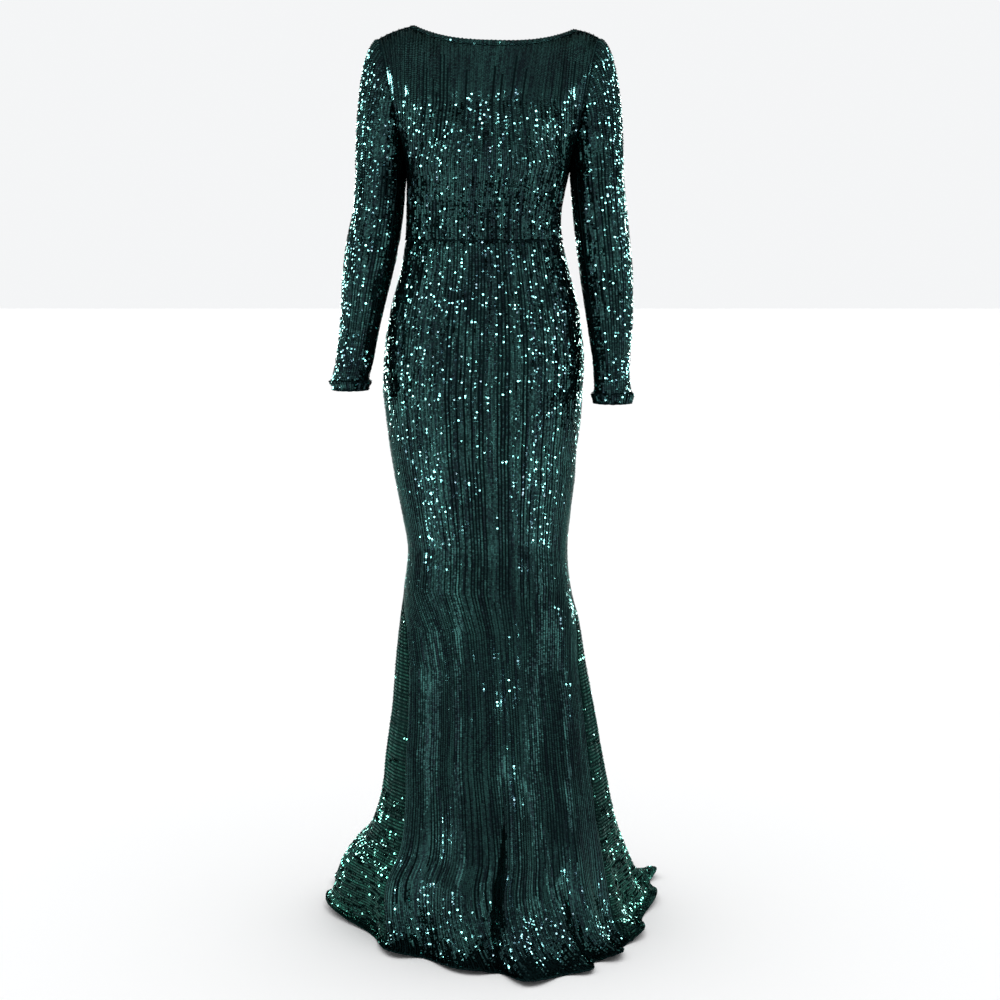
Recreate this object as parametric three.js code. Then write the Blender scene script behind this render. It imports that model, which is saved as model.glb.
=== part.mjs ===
// A floor-length evening gown in ribbed sequin stretch cloth: a boat-necked bodice with long set-in
// sleeves, a waist seam, a close skirt and two side godets that flare from the knee into a ruffled
// hem with a short train. Millimetres, +Z up, the front faces -Y, and left and right are as seen
// from the front. The origin is between the two shoulders, where the wearer carries the gown.
import * as THREE from 'three';

// Cloth sizes
const WALL = 1.8; // thickness of the cloth with its sequins
const RIB = 0.9; // how far a rib of sequin rows stands out
const SEWN_RIB = 0.2; // the share of that left where a rib is caught in a seam
const GAP = 0.3; // between two pieces at a seam
const GODET_GAP = 0.5; // beside the slanting godet seams
const FLOOR = -1457; // height of the ground under the hem
const NARROW_RIB = 7; // ribs closer than this are lower in proportion

// Ribs across each piece
const BODICE_RIBS = 20;
const SKIRT_RIBS = 22;
const GODET_RIBS = 9;

// Turns rows of numbers into objects whose keys are the column names.
function table(columns, rows) {
  const names = columns.split(' ');
  return rows.map((row) => Object.fromEntries(names.map((name, i) => [name, row[i]])));
}

// Bodice sections from the waist seam up to the chest. frontEdge and backEdge are the depths of the
// side seam, then of the armhole. round is 1 for a full half oval and 0 for a shallow arch.
const BODICE = table('z left right front back frontEdge backEdge round', [
  [-331, -129, 116, -88, 82, 2, 2, 1],
  [-307, -128, 114, -93, 86, 2, 2, 1],
  [-284, -127, 115, -102, 90, 2, 2, 1],
  [-260, -127, 119, -113, 94, 2, 2, 1],
  [-237, -127, 124, -124, 97, 2, 2, 1],
  [-213, -130, 130, -131, 100, 2, 2, 1],
  [-188, -134, 135, -132, 103, -22, 26, 0.75],
  [-155, -142, 144, -124, 106, -43, 49, 0.45],
  [-120, -149, 151, -109, 106, -54, 60, 0.2],
]);
const ARMPIT_ROW = 5;
const CHEST_ROW = BODICE.length - 1;
const YOKE_STEPS = 4; // rows from the chest up to the neck and shoulders
const TOP_ROW = CHEST_ROW + YOKE_STEPS;

// Neck and shoulder corners
const NECK_LEFT = new THREE.Vector3(-118, 4, 4);
const NECK_RIGHT = new THREE.Vector3(137, 4, -2);
const SHOULDER_LEFT = new THREE.Vector3(-173, 6, -16);
const SHOULDER_RIGHT = new THREE.Vector3(176, 6, -15);
const SHOULDER_ARCH = 2; // rise in the middle of the shoulder seam
const NECK_SHARE = 0.8; // part of the top edge that is neckline
const NECK_FRONT = { reach: -76, drop: 27 }; // from the neck corners to the middle of the neckline
const NECK_BACK = { reach: 58, drop: 24 };
const NECK_OVAL = 0.35; // how far the neckline's spacing follows an oval
const NECK_POWERS = { reach: 2.1, drop: 2.6 }; // higher is flatter in the middle

// How the yoke rounds over from the chest to the top edge, at its middle and at the shoulders
const YOKE_MIDDLE = { inward: 0.35, upward: 0.62 };
const YOKE_SHOULDER = { inward: 0.04, upward: 0.85 };
const YOKE_SIDEWAYS = 0.6;
const YOKE_POWER = 1.5; // how late the middle's shape gives way to the shoulders'

// Skirt sections from the waist seam to the hem. leftLevel and rightLevel are the depths of the
// widest points, and lift is the share of a ruffle's height that the row takes.
const SKIRT = table('z left right front back leftLevel rightLevel lift', [
  [-331, -129, 116, -88, 82, 2, 2, 0],
  [-378, -137, 127, -93, 93, 2, 2, 0],
  [-426, -150, 140, -99, 107, 4, 4, 0],
  [-474, -160, 148, -104, 121, 6, 6, 0],
  [-521, -165, 152, -107, 131, 8, 8, 0],
  [-569, -167, 150, -108, 137, 10, 10, 0],
  [-618, -162, 147, -107, 134, 10, 10, 0],
  [-666, -156, 141, -104, 126, 10, 10, 0],
  [-715, -148, 138, -100, 116, 9, 9, 0],
  [-763, -139, 132, -96, 107, 8, 8, 0],
  [-825, -129, 127, -92, 101, 8, 8, 0],
  [-880, -134.4, 131.5, -93.8, 103.7, 8, 8, 0],
  [-886, -135, 132, -94, 104, 8, 8, 0],
  [-947, -143, 147, -99, 114, 10, 10, 0],
  [-1009, -150, 157, -109, 128, 12, 9, 0],
  [-1084, -156, 171, -125, 146, 15, 10, 0],
  [-1159, -166, 184, -140, 170, 21, 14, 0],
  [-1215, -172, 195, -152, 190, 27, 21, 0],
  [-1265, -183, 205, -161, 211, 34, 32, 0],
  [-1305, -201, 215, -167, 232, 46, 54, 0],
  [-1345, -233, 227, -173, 256, 76, 86, 0],
  [-1385, -251, 239, -178, 286, 106, 126, 0],
  [-1418, -259, 249, -188, 318, 124, 162, 0.1],
  [-1441, -265, 262, -202, 352, 135, 194, 0.4],
  [-1453, -270, 278, -224, 388, 140, 212, 0.8],
  [-1455.2, -276, 292, -250, 424, 142, 225, 1],
]);
const KNEE_ROW = 12; // the godets start here

// Angles round the skirt, from 0 at the front to 90 at each side and 180 at the back, where the
// godets are sewn in
const GODET_SEAMS = table('z leftFront rightFront leftBack rightBack', [
  [-880, 90, 90, 90, 90],
  [-886, 89.2, 89.2, 90.8, 90.8],
  [-947, 66, 74, 108, 106],
  [-1009, 56, 66, 118, 115],
  [-1159, 52, 61, 124, 121],
  [-1305, 47, 57, 129, 126],
  [-1455.2, 43, 52, 134, 132],
]);

// Folds and ruffles of the flared skirt, in order round it: the angle of each crest, how far the
// hem stands out there and how high it lifts off the ground, the same for the hollow that follows,
// which stays on the ground, and the height where the fold starts
const FOLDS = table('angle crest lift hollowAngle hollow top', [
  [-168, 16, 13, -154, -12, -1190],
  [-139, 18, 18, -125, -14, -1170],
  [-111, 14, 12, -100, -8, -1200],
  [-88, 3, 14, -60, -54, -1240],
  [-39, -24, 9, -30, -54, -1240],
  [-7, -10, 7, 2, -20, -1110],
  [9, 48, 8, 21, 20, -1120],
  [27, 38, 6, 34, 2, -1300],
  [39, 28, 12, 49, -4, -1240],
  [56, 8, 12, 70, -18, -1240],
  [82, 0, 22, 92, -10, -1230],
  [104, 14, 20, 116, -13, -1210],
  [128, 18, 18, 140, -12, -1180],
  [152, 16, 12, 172, -12, -1190],
]);
const FOLD_GROWTH = 1.5;

// Sleeve sections down each arm. inner faces the body, middle is the depth of the arm's centre line
// and depth is half the section from front to back. The last rows are the gathered cuff.
const ARM_COLUMNS = 'z inner outer middle depth';
const ARM_LEFT = table(ARM_COLUMNS, [
  [-237, -131, -209, 3, 46],
  [-284, -135, -213, 2, 44],
  [-331, -141, -223, 1, 43],
  [-378, -151, -229, -3, 41],
  [-426, -163, -232, -10, 38],
  [-474, -174, -235, -18, 34],
  [-521, -183, -241, -27, 31],
  [-546, -189, -246, -32, 29],
  [-553, -186, -250, -33, 33],
  [-561, -190, -245, -35, 29],
  [-567, -190, -246, -36, 31],
]);
const ARM_RIGHT = table(ARM_COLUMNS, [
  [-237, 131, 214, 3, 46],
  [-284, 135, 219, 2, 44],
  [-331, 140, 224, 1, 43],
  [-378, 146, 228, -3, 41],
  [-426, 153, 229, -10, 38],
  [-474, 160, 228, -18, 34],
  [-521, 167, 224, -27, 31],
  [-564, 169, 225, -34, 29],
  [-573, 165, 230, -35, 33],
  [-582, 168, 228, -36, 29],
  [-588, 168, 227, -37, 31],
]);
const CAP_STEPS = [0, 0.13, 0.3, 0.5, 0.74]; // rows from the armhole to the upper arm
const CAP_CURVE = { sideways: 0.5, outwards: 0.45, depth: 0.4, down: 0.5, up: 0.42 };
const ARMHOLE_CENTRE = { x: 151, y: 3, z: -114 };

// Shape of a section. Each pair gives the value of a shallow arch, then of a full half oval.
const ARCH_WIDTH = [2.3, 2];
const ARCH_CURVE = [1, 0.44];
const BOW = 0.88; // below 1 the front and back are fuller than an ellipse
const SIDE_TURN = Math.PI / 2;
const STEP = 0.001; // for slopes along a section

const lerp = THREE.MathUtils.lerp;
const degrees = THREE.MathUtils.degToRad;

function blend(a, b, share) {
  return new THREE.Vector3().lerpVectors(a, b, share);
}

// A point on a curve that leaves a towards the control point and reaches b.
function bend(a, control, b, share) {
  return blend(blend(a, control, share), blend(control, b, share), share);
}

// A value of a table at a height between its rows, which run downwards.
function columnAt(rows, name, z) {
  const below = rows.findIndex((row) => row.z <= z);
  if (below <= 0) return below === 0 ? rows[0][name] : rows[rows.length - 1][name];
  const upper = rows[below - 1];
  const lower = rows[below];
  return lerp(upper[name], lower[name], (upper.z - z) / (upper.z - lower.z));
}

// Bodice surface. face is 1 for the front and -1 for the back, across runs from -1 at the left
// edge to 1 at the right edge.
function sectionPoint(row, face, across) {
  const { left, right, round, z } = row;
  const share = lerp(across, Math.sin(across * SIDE_TURN), round);
  const edge = face > 0 ? row.frontEdge : row.backEdge;
  const middle = face > 0 ? row.front : row.back;
  const width = lerp(...ARCH_WIDTH, round);
  const curve = lerp(...ARCH_CURVE, round);
  const bulge = Math.pow(Math.max(0, 1 - Math.pow(Math.abs(share), width)), curve);
  return new THREE.Vector3((left + right) / 2 + ((right - left) / 2) * share, lerp(edge, middle, bulge), z);
}

function topPoint(face, across) {
  const neck = across < 0 ? NECK_LEFT : NECK_RIGHT;
  const shoulder = across < 0 ? SHOULDER_LEFT : SHOULDER_RIGHT;
  const size = Math.abs(across);
  if (size >= NECK_SHARE) {
    const along = (size - NECK_SHARE) / (1 - NECK_SHARE);
    const point = blend(neck, shoulder, along);
    point.z += SHOULDER_ARCH * Math.sin(along * Math.PI);
    return point;
  }
  const part = across / NECK_SHARE;
  const share = lerp(part, Math.sin(part * SIDE_TURN), NECK_OVAL);
  const line = blend(NECK_LEFT, NECK_RIGHT, (share + 1) / 2);
  const depth = face > 0 ? NECK_FRONT : NECK_BACK;
  line.y += depth.reach * (1 - Math.pow(Math.abs(share), NECK_POWERS.reach));
  line.z -= depth.drop * (1 - Math.pow(Math.abs(share), NECK_POWERS.drop));
  return line;
}

function bodicePoint(row, face, across) {
  if (row <= CHEST_ROW) return sectionPoint(BODICE[Math.max(0, row)], face, across);
  const chest = sectionPoint(BODICE[CHEST_ROW], face, across);
  const top = topPoint(face, across);
  const size = Math.pow(Math.abs(across), YOKE_POWER);
  const inward = lerp(YOKE_MIDDLE.inward, YOKE_SHOULDER.inward, size);
  const upward = lerp(YOKE_MIDDLE.upward, YOKE_SHOULDER.upward, size);
  const control = new THREE.Vector3(
    lerp(chest.x, top.x, YOKE_SIDEWAYS),
    lerp(chest.y, top.y, inward),
    lerp(chest.z, top.z, upward),
  );
  return bend(chest, control, top, (row - CHEST_ROW) / YOKE_STEPS);
}

// The way into the gown from a point of the bodice.
function bodiceInward(row, face, across) {
  const point = bodicePoint(row, face, across);
  const atSide = Math.abs(across) > 1 - STEP;
  if (atSide && row >= ARMPIT_ROW) return armholeInward(point);
  if (atSide) return new THREE.Vector3(-Math.sign(across), 0, 0);
  if (row === TOP_ROW && Math.abs(across) > NECK_SHARE - STEP) return new THREE.Vector3(0, 0, -1);
  const along = bodicePoint(row, face, across + STEP).sub(bodicePoint(row, face, across - STEP));
  const above = bodicePoint(Math.min(row + 1, TOP_ROW), face, across);
  const below = bodicePoint(row - 1, face, across);
  const inward = along.cross(above.sub(below)).multiplyScalar(-face);
  if (row === 0) inward.z = 0;
  return inward.normalize();
}

// The armhole's pieces share one way in, towards the middle of the armhole.
function armholeInward(point) {
  const side = Math.sign(point.x);
  const centre = new THREE.Vector3(side * ARMHOLE_CENTRE.x, ARMHOLE_CENTRE.y, ARMHOLE_CENTRE.z);
  return centre.sub(point).normalize();
}

// Folds as crests and hollows in turn round the skirt.
const FOLD_STOPS = FOLDS.flatMap((fold, i) => {
  const next = FOLDS[(i + 1) % FOLDS.length];
  const crest = { angle: fold.angle, out: fold.crest, lift: fold.lift, top: fold.top };
  const hollow = { angle: fold.hollowAngle, out: fold.hollow, lift: 0, top: (fold.top + next.top) / 2 };
  return [crest, hollow];
});

function foldAt(angle, z) {
  const first = FOLD_STOPS[0].angle;
  const turn = ((((angle * 180) / Math.PI - first) % 360) + 360) % 360 + first;
  const found = FOLD_STOPS.findIndex((stop) => stop.angle > turn);
  const after = found < 0 ? 0 : found;
  const before = FOLD_STOPS[(after - 1 + FOLD_STOPS.length) % FOLD_STOPS.length];
  const next = FOLD_STOPS[after];
  const nextAngle = found < 0 ? next.angle + 360 : next.angle;
  const share = (turn - before.angle) / (nextAngle - before.angle);
  const ease = (1 - Math.cos(share * Math.PI)) / 2;
  const top = lerp(before.top, next.top, ease);
  const growth = Math.pow(THREE.MathUtils.clamp((top - z) / (top - FLOOR), 0, 1), FOLD_GROWTH);
  return { out: growth * lerp(before.out, next.out, ease), lift: lerp(before.lift, next.lift, ease) };
}

// Skirt surface, by row and by angle round it.
function ovalPoint(row, angle) {
  const side = Math.sin(angle);
  const ahead = Math.cos(angle);
  const level = side < 0 ? row.leftLevel : row.rightLevel;
  const reach = ahead > 0 ? row.front - level : row.back - level;
  const x = (row.left + row.right) / 2 + ((row.right - row.left) / 2) * side;
  return new THREE.Vector3(x, level + reach * Math.pow(Math.abs(ahead), BOW), row.z);
}

function skirtPoint(row, angle) {
  const section = SKIRT[row];
  const point = ovalPoint(section, angle);
  const along = ovalPoint(section, angle + STEP).sub(ovalPoint(section, angle - STEP)).normalize();
  const fold = foldAt(angle, section.z);
  point.x += along.y * fold.out;
  point.y -= along.x * fold.out;
  point.z += section.lift * fold.lift;
  return point;
}

function skirtInward(row, angle) {
  const along = skirtPoint(row, angle + STEP).sub(skirtPoint(row, angle - STEP));
  const above = skirtPoint(Math.max(row - 1, 0), angle);
  const below = skirtPoint(Math.min(row + 1, SKIRT.length - 1), angle);
  const inward = above.sub(below).cross(along);
  if (row === 0) inward.z = 0;
  return inward.normalize();
}

// A wall of cloth. Each row holds the points between the ribs, each with its way in, and the points
// on the ribs. The outside follows both and the inside only the first, so it stays plain.
function clothWall(rows, closed) {
  const corners = [];
  const triangles = [];
  const put = (point) => corners.push(point.x, point.y, point.z) / 3 - 1;
  const grid = rows.map((row) => ({
    outer: row.between.map(({ point }) => put(point)),
    ridge: row.ridges.map((point) => put(point)),
    inner: row.between.map(({ point, inward }) => put(point.clone().addScaledVector(inward, WALL))),
  }));
  const quad = (a, b, c, d) => triangles.push(a, b, c, a, c, d);
  const ribs = rows[0].ridges.length;
  const after = (i) => (closed ? (i + 1) % ribs : i + 1);
  for (let r = 0; r + 1 < grid.length; r += 1) {
    const low = grid[r];
    const high = grid[r + 1];
    for (let i = 0; i < ribs; i += 1) {
      const j = after(i);
      quad(low.outer[i], low.ridge[i], high.ridge[i], high.outer[i]);
      quad(low.ridge[i], low.outer[j], high.outer[j], high.ridge[i]);
      quad(low.inner[j], low.inner[i], high.inner[i], high.inner[j]);
    }
    if (!closed) {
      quad(low.inner[0], low.outer[0], high.outer[0], high.inner[0]);
      quad(low.outer[ribs], low.inner[ribs], high.inner[ribs], high.outer[ribs]);
    }
  }
  const first = grid[0];
  const last = grid[grid.length - 1];
  for (let i = 0; i < ribs; i += 1) {
    const j = after(i);
    quad(first.inner[i], first.inner[j], first.ridge[i], first.outer[i]);
    triangles.push(first.inner[j], first.outer[j], first.ridge[i]);
    quad(last.inner[j], last.inner[i], last.outer[i], last.ridge[i]);
    triangles.push(last.inner[j], last.ridge[i], last.outer[j]);
  }
  return solid(corners, triangles);
}

// A closed geometry whose faces point out.
function solid(corners, triangles) {
  const geometry = new THREE.BufferGeometry();
  geometry.setAttribute('position', new THREE.Float32BufferAttribute(corners, 3));
  const corner = (i) => new THREE.Vector3().fromArray(corners, i * 3);
  let volume = 0;
  for (let i = 0; i < triangles.length; i += 3) {
    const [a, b, c] = triangles.slice(i, i + 3).map(corner);
    volume += a.dot(b.cross(c));
  }
  if (volume < 0) triangles.reverse();
  geometry.setIndex(triangles);
  geometry.computeVertexNormals();
  return geometry;
}

// One row of a panel between two edges. at gives a surface point and inwardAt the way in there.
function panelRow({ start, end, ribs, raise, at, inwardAt }) {
  const between = [];
  const ridges = [];
  const span = at(start).distanceTo(at(lerp(start, end, 1 / ribs)));
  const height = RIB * raise * Math.min(1, span / NARROW_RIB);
  for (let i = 0; i <= ribs; i += 1) {
    const place = lerp(start, end, i / ribs);
    between.push({ point: at(place), inward: inwardAt(place) });
    if (i < ribs) {
      const crest = lerp(start, end, (i + 0.5) / ribs);
      ridges.push(at(crest).addScaledVector(inwardAt(crest), -height));
    }
  }
  return { between, ridges };
}

// Moves an edge in from a seam by half the gap. speed is the arc length for each unit of place.
function offSeam(place, towards, gap, speed) {
  return place + (Math.sign(towards - place) * gap) / 2 / speed;
}

function bodicePanel(face, left, right, ribs) {
  const rows = [];
  for (let row = 0; row <= TOP_ROW; row += 1) {
    const sewn = row === 0 || row === TOP_ROW;
    const lowered = row === 0 ? GAP / 2 : 0;
    const at = (across) => {
      const point = bodicePoint(row, face, across);
      const onShoulder = row === TOP_ROW && Math.abs(across) > NECK_SHARE - STEP;
      point.z += lowered;
      if (onShoulder || Math.abs(across) > 1 - STEP) point.y -= (face * GAP) / 2;
      if (Math.abs(across) < STEP && (left === 0 || right === 0)) point.x += left === 0 ? GAP / 2 : -GAP / 2;
      return point;
    };
    const inwardAt = (across) => bodiceInward(row, face, across);
    rows.push(panelRow({ start: left, end: right, ribs, raise: sewn ? SEWN_RIB : 1, at, inwardAt }));
  }
  return clothWall(rows, false);
}

function skirtPanel(firstRow, edges, ribs) {
  const rows = [];
  for (let row = firstRow; row < SKIRT.length; row += 1) {
    const [from, to] = edges(SKIRT[row].z).map(degrees);
    const speed = (angle) => skirtPoint(row, angle + STEP).distanceTo(skirtPoint(row, angle)) / STEP;
    const gap = row >= KNEE_ROW ? GODET_GAP : GAP;
    const start = offSeam(from, to, gap, speed(from));
    const end = offSeam(to, from, gap, speed(to));
    const lowered = row === 0 ? GAP / 2 : 0;
    const at = (angle) => {
      const point = skirtPoint(row, angle);
      point.z -= lowered;
      return point;
    };
    const inwardAt = (angle) => skirtInward(row, angle);
    rows.push(panelRow({ start, end, ribs, raise: row === 0 ? SEWN_RIB : 1, at, inwardAt }));
  }
  return clothWall(rows, false);
}

// The armhole from the armpit up the front edge and down the back edge of the bodice.
function armholeLoop(side) {
  const loop = [];
  for (let row = ARMPIT_ROW; row <= TOP_ROW; row += 1) loop.push(bodicePoint(row, 1, side));
  for (let row = TOP_ROW - 1; row > ARMPIT_ROW; row -= 1) loop.push(bodicePoint(row, -1, side));
  return loop;
}

function armPoint(section, side, turn) {
  const centre = (section.inner + section.outer) / 2;
  const half = Math.abs(section.outer - section.inner) / 2;
  const x = centre - side * half * Math.cos(turn);
  return new THREE.Vector3(x, section.middle - section.depth * Math.sin(turn), section.z);
}

function sleeve(side, arm) {
  const loop = armholeLoop(side);
  const ribs = loop.length;
  const armholeAt = (place) => {
    const i = Math.floor(place) % ribs;
    return blend(loop[i], loop[(i + 1) % ribs], place - Math.floor(place));
  };
  const turnAt = (place) => (place / ribs) * Math.PI * 2;
  const capPoint = (share, place) => {
    const start = armholeAt(place);
    const end = armPoint(arm[0], side, turnAt(place));
    const outside = (1 - Math.cos(turnAt(place))) / 2;
    const control = new THREE.Vector3(
      lerp(start.x, end.x, CAP_CURVE.sideways + CAP_CURVE.outwards * outside),
      lerp(start.y, end.y, CAP_CURVE.depth),
      lerp(start.z, end.z, CAP_CURVE.down - CAP_CURVE.up * outside),
    );
    const point = bend(start, control, end, share);
    if (share > 0) return point;
    return point.add(control.sub(start).setLength(GAP));
  };
  const levels = [
    ...CAP_STEPS.map((share) => (place) => capPoint(share, place)),
    ...arm.map((section) => (place) => armPoint(section, side, turnAt(place))),
  ];
  const rows = levels.map((at, row) => {
    const between = [];
    const ridges = [];
    const inwardAt = (place) => {
      if (row === 0) return armholeInward(armholeAt(place));
      const along = at((place + STEP) % ribs).sub(at((place - STEP + ribs) % ribs));
      const above = levels[row - 1](place);
      const below = levels[Math.min(row + 1, levels.length - 1)](place);
      return along.cross(above.sub(below)).multiplyScalar(-side).normalize();
    };
    const raise = RIB * Math.min(1, row / 2);
    for (let i = 0; i < ribs; i += 1) {
      between.push({ point: at(i), inward: inwardAt(i) });
      ridges.push(at(i + 0.5).addScaledVector(inwardAt(i + 0.5), -raise));
    }
    return { between, ridges };
  });
  return clothWall(rows, true);
}

// Seam angles at a height, as edges of each skirt panel.
function seam(name, z) {
  return columnAt(GODET_SEAMS, name, z);
}

const gown = new THREE.Group();

function add(name, geometry, colour) {
  const cloth = new THREE.MeshStandardMaterial({ color: colour, roughness: 0.42, metalness: 0.3 });
  const mesh = new THREE.Mesh(geometry, cloth);
  mesh.name = name;
  gown.add(mesh);
}

const GREEN = '#12362f';
const HALF_BODICE = BODICE_RIBS / 2;
const HALF_SKIRT = SKIRT_RIBS / 2;

add('front_bodice', bodicePanel(1, -1, 1, BODICE_RIBS), GREEN);
add('back_bodice_left', bodicePanel(-1, -1, 0, HALF_BODICE), GREEN);
add('back_bodice_right', bodicePanel(-1, 0, 1, HALF_BODICE), GREEN);
add('sleeve_left', sleeve(-1, ARM_LEFT), GREEN);
add('sleeve_right', sleeve(1, ARM_RIGHT), GREEN);
add('front_skirt', skirtPanel(0, (z) => [-seam('leftFront', z), seam('rightFront', z)], SKIRT_RIBS), GREEN);
add('back_skirt_right', skirtPanel(0, (z) => [seam('rightBack', z), 180], HALF_SKIRT), GREEN);
add('back_skirt_left', skirtPanel(0, (z) => [-180, -seam('leftBack', z)], HALF_SKIRT), GREEN);
add('godet_right', skirtPanel(KNEE_ROW, (z) => [seam('rightFront', z), seam('rightBack', z)], GODET_RIBS), GREEN);
add('godet_left', skirtPanel(KNEE_ROW, (z) => [-seam('leftBack', z), -seam('leftFront', z)], GODET_RIBS), GREEN);

export default gown;
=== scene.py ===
# A floor-length evening gown in ribbed sequin stretch cloth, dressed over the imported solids. The gown's
# own sizes are in millimetres, and meshes, camera and lights are in metres. +Z is up, the front faces
# -Y, and left and right are as seen from the front.
import bpy
import math
import numpy as np
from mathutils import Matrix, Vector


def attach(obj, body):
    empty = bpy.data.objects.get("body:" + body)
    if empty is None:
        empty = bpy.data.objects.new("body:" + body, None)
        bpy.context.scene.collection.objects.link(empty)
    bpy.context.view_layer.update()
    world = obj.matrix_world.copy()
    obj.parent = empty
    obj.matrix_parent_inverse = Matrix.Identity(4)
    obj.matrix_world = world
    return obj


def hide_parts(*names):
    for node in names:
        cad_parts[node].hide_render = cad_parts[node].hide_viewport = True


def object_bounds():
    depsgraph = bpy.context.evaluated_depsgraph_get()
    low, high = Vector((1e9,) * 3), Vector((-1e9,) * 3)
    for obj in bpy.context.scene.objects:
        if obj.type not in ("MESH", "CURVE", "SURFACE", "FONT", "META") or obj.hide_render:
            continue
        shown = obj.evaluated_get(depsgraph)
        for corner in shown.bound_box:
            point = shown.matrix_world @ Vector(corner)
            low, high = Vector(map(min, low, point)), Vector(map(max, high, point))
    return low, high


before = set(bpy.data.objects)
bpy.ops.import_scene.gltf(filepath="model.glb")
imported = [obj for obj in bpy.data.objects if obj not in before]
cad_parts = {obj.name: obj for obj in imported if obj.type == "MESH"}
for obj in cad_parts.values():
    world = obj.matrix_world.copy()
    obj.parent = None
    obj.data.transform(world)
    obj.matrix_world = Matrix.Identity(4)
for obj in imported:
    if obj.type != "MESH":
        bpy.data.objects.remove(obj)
cad_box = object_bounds()


# Camera
# A long lens level with the hips and turned slightly down, as in the photograph.
CAMERA_PLACE = (0.019, -3.433, -0.323)
CAMERA_DIP = math.radians(7.04)
LENS = 77.26  # millimetres
SENSOR = 36.0

camera = bpy.data.cameras.new("camera")
camera.lens = LENS
camera.sensor_width = SENSOR
viewer = bpy.data.objects.new("camera", camera)
viewer.location = CAMERA_PLACE
viewer.rotation_euler = (math.pi / 2 - CAMERA_DIP, 0, 0)
bpy.context.scene.collection.objects.link(viewer)
bpy.context.scene.camera = viewer


# Floor
# A plain pale studio floor under the hem, wide enough for every view.
FLOOR_WIDTH = 60.0
FLOOR_COLOUR = "#F8F8F8"


def linear(code):
    """The linear colour of an sRGB hex code."""
    parts = [int(code[i:i + 2], 16) / 255 for i in (1, 3, 5)]
    return [p / 12.92 if p <= 0.04045 else ((p + 0.055) / 1.055) ** 2.4 for p in parts] + [1.0]


def set_inputs(tree, node, inputs):
    """Sets inputs of a node. Each is a value, or an output socket to link."""
    for name, value in inputs.items():
        if isinstance(value, bpy.types.NodeSocket):
            tree.links.new(value, node.inputs[name])
        else:
            node.inputs[name].default_value = value


def add_node(tree, kind, inputs=None, **settings):
    """Adds a node with its settings and inputs."""
    made = tree.nodes.new(kind)
    for name, value in settings.items():
        setattr(made, name, value)
    set_inputs(tree, made, inputs or {})
    return made


def new_material(name):
    """A material with its node tree and its shader."""
    material = bpy.data.materials.new(name)
    material.use_nodes = True
    return material, material.node_tree, material.node_tree.nodes["Principled BSDF"]


floor_paint, floor_tree, floor_shader = new_material("Matt pale studio floor")
set_inputs(floor_tree, floor_shader, {
    "Base Color": linear(FLOOR_COLOUR), "Roughness": 0.9, "Specular IOR Level": 0.1,
})
half = FLOOR_WIDTH / 2
height = cad_box[0][2]
floor_mesh = bpy.data.meshes.new("floor")
corners = [(-half, -half, height), (half, -half, height), (half, half, height), (-half, half, height)]
floor_mesh.from_pydata(corners, [], [(0, 1, 2, 3)])
floor_mesh.materials.append(floor_paint)
floor = bpy.data.objects.new("floor", floor_mesh)
bpy.context.scene.collection.objects.link(floor)


# Light
# A white studio: a pale backdrop round the horizon and a dimmer room above it. A soft sun lights the
# floor alone. The lamps are small bright boxes that the sequins flash back, and they light the gown alone.
SKY_COLOUR = "#FAFBFC"
SKY_BANDS = [
    # height from 0 at the horizon to 1 overhead, strength
    (0.0, 0.95),
    (0.15, 0.95),
    (0.24, 0.48),
    (0.5, 0.46),
    (0.8, 0.62),
    (1.0, 0.8),
]
SKY_BRIGHTEST = max(strength for _, strength in SKY_BANDS)
SUN_STRENGTH = 1.65
SUN_SOFTNESS = math.radians(100)
MIDDLE = (0.0, 0.0, -0.65)
LIGHT_DISTANCE = 7.0  # of the lamps from the gown's middle, in metres
LIGHTS = [
    # name, azimuth, elevation, width and height in metres, brightness of its face
    ("soft_left", -46, 27, 3.2, 2.4, 1.1),
    ("soft_right", 66, 20, 2.0, 3.0, 1.2),
    ("edge_left", -92, 30, 1.4, 1.2, 60),
    ("edge_right", 92, 31, 1.4, 1.1, 60),
    ("behind_left", -124, 28, 1.7, 1.3, 60),
    ("behind_right", 124, 28, 1.7, 1.3, 60),
    ("far_behind_left", -149, 8, 1.6, 1.2, 60),
    ("far_behind_right", 149, 8, 1.6, 1.2, 60),
    ("front_low_left", -34, -5, 0.6, 0.3, 80),
    ("front_low_right", 42, -5, 0.6, 0.3, 80),
    ("front_lowest_left", -64, -5, 1.6, 0.3, 80),
    ("front_lowest_right", 66, -5, 1.6, 0.3, 80),
    ("front_left", -20, 45, 1.2, 0.5, 80),
    ("front_right", 22, 45, 1.2, 0.5, 80),
]

world = bpy.data.worlds.new("studio")
world.use_nodes = True
direction = add_node(world.node_tree, "ShaderNodeTexCoord")
height_up = add_node(world.node_tree, "ShaderNodeSeparateXYZ", {0: direction.outputs["Generated"]})
bands = add_node(world.node_tree, "ShaderNodeValToRGB", {"Fac": height_up.outputs["Z"]})
for number, (up, strength) in enumerate(SKY_BANDS):
    ends = number in (0, len(SKY_BANDS) - 1)
    stop = bands.color_ramp.elements[0 if number == 0 else -1] if ends else bands.color_ramp.elements.new(up)
    stop.color = [strength / SKY_BRIGHTEST * part for part in linear(SKY_COLOUR)[:3]] + [1.0]
background = world.node_tree.nodes["Background"]
world.node_tree.links.new(bands.outputs["Color"], background.inputs["Color"])
background.inputs["Strength"].default_value = SKY_BRIGHTEST
bpy.context.scene.world = world
bpy.context.scene.view_settings.view_transform = "Standard"

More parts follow.
